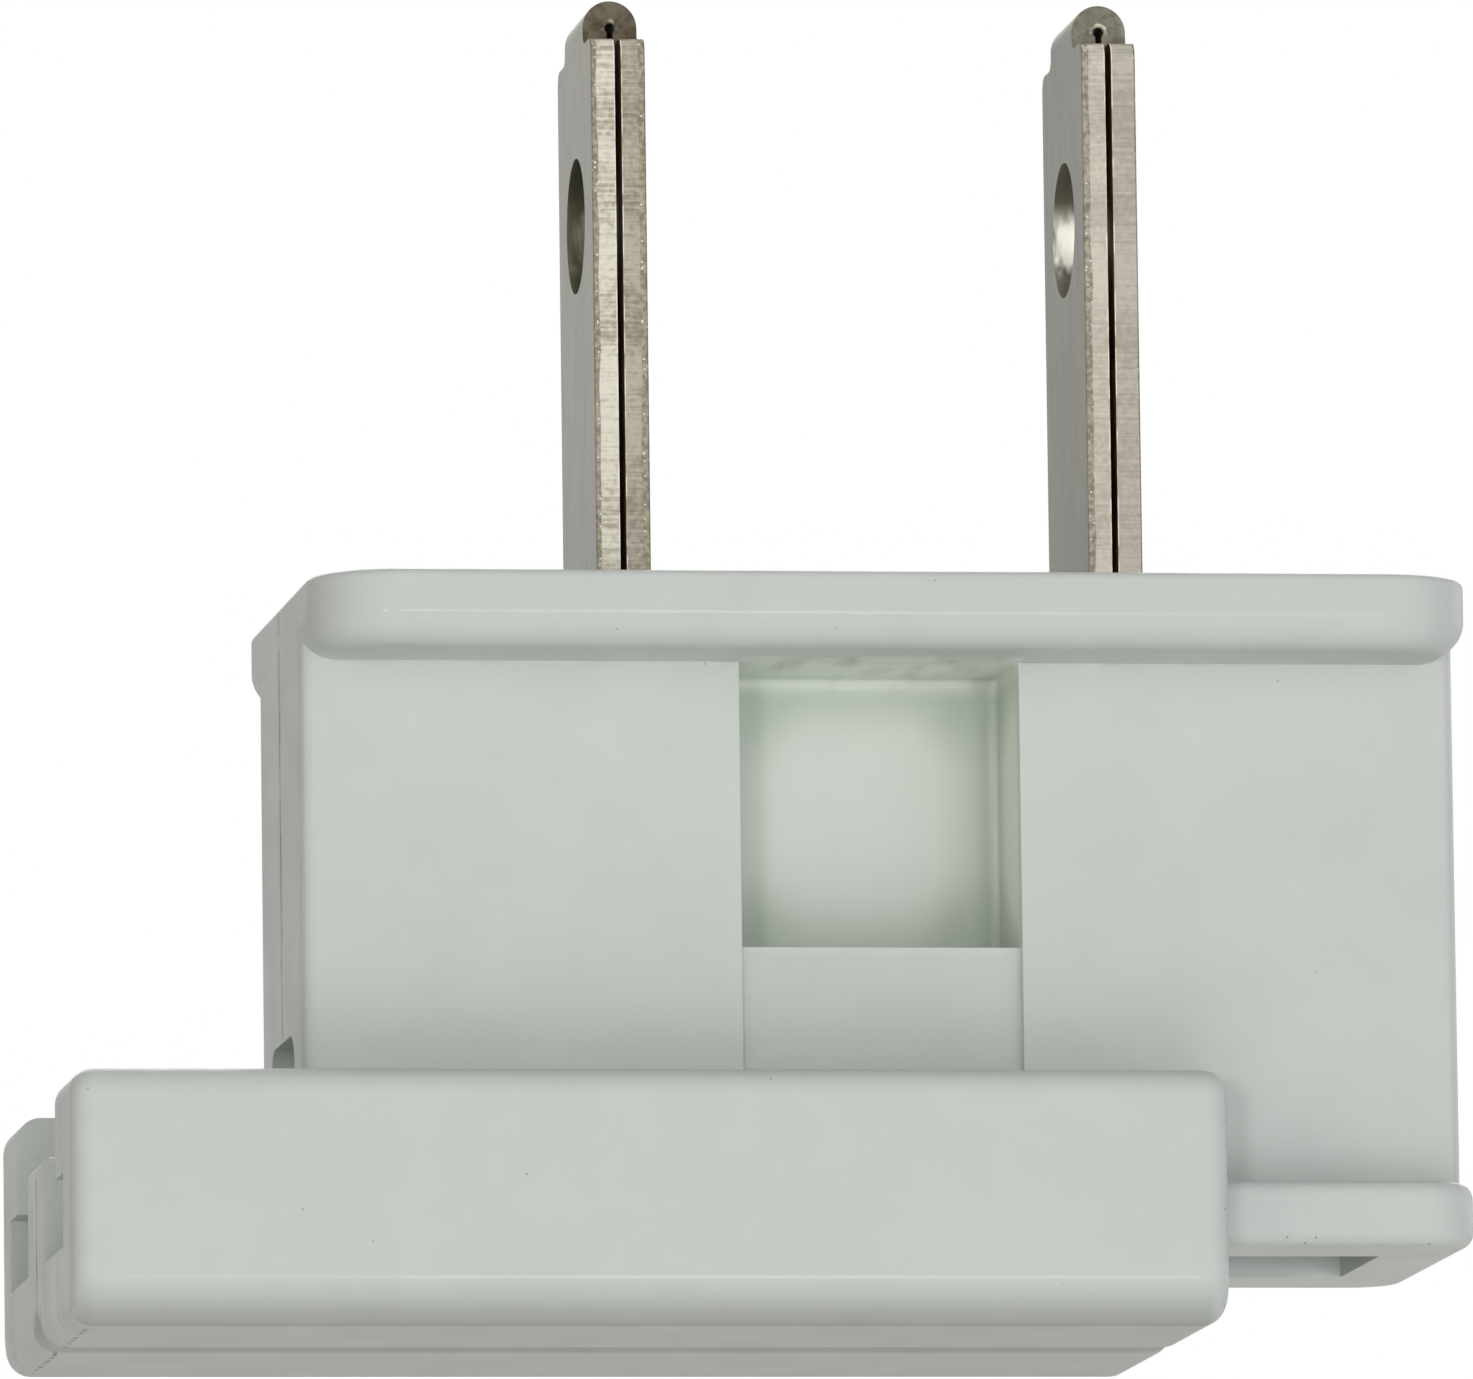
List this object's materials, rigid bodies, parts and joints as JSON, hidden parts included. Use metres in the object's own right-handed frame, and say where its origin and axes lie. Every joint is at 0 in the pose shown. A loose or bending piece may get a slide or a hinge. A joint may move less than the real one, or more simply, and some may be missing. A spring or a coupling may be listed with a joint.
{
  "type": "type a plug",
  "caption": "White slide-on plug for flat cord: folded flat blades in a moulded housing, with a sliding cover that presses the cord onto piercing spikes.",
  "frame": {"origin": "middle of the plug face, halfway between the blades", "axes": "+Z along the blades, out of the plug face; +X along the rails, away from the cord's way in; +Y across the face"},
  "size_m": [0.0362, 0.017, 0.0346],
  "materials": {
    "housing_plastic": "satin",
    "cover_plastic": "satin",
    "blade_metal": "nickel plated"
  },
  "bodies": {
    "plug": {"housing": "housing_plastic", "left_blade": "blade_metal", "right_blade": "blade_metal"},
    "cover": {"slide_cover": "cover_plastic"}
  },
  "joints": [
    {"name": "cover_slide", "type": "slide", "parent": "plug", "child": "cover", "axis": [1, 0, 0], "range_m": [-0.023, 0.0065]}
  ]
}
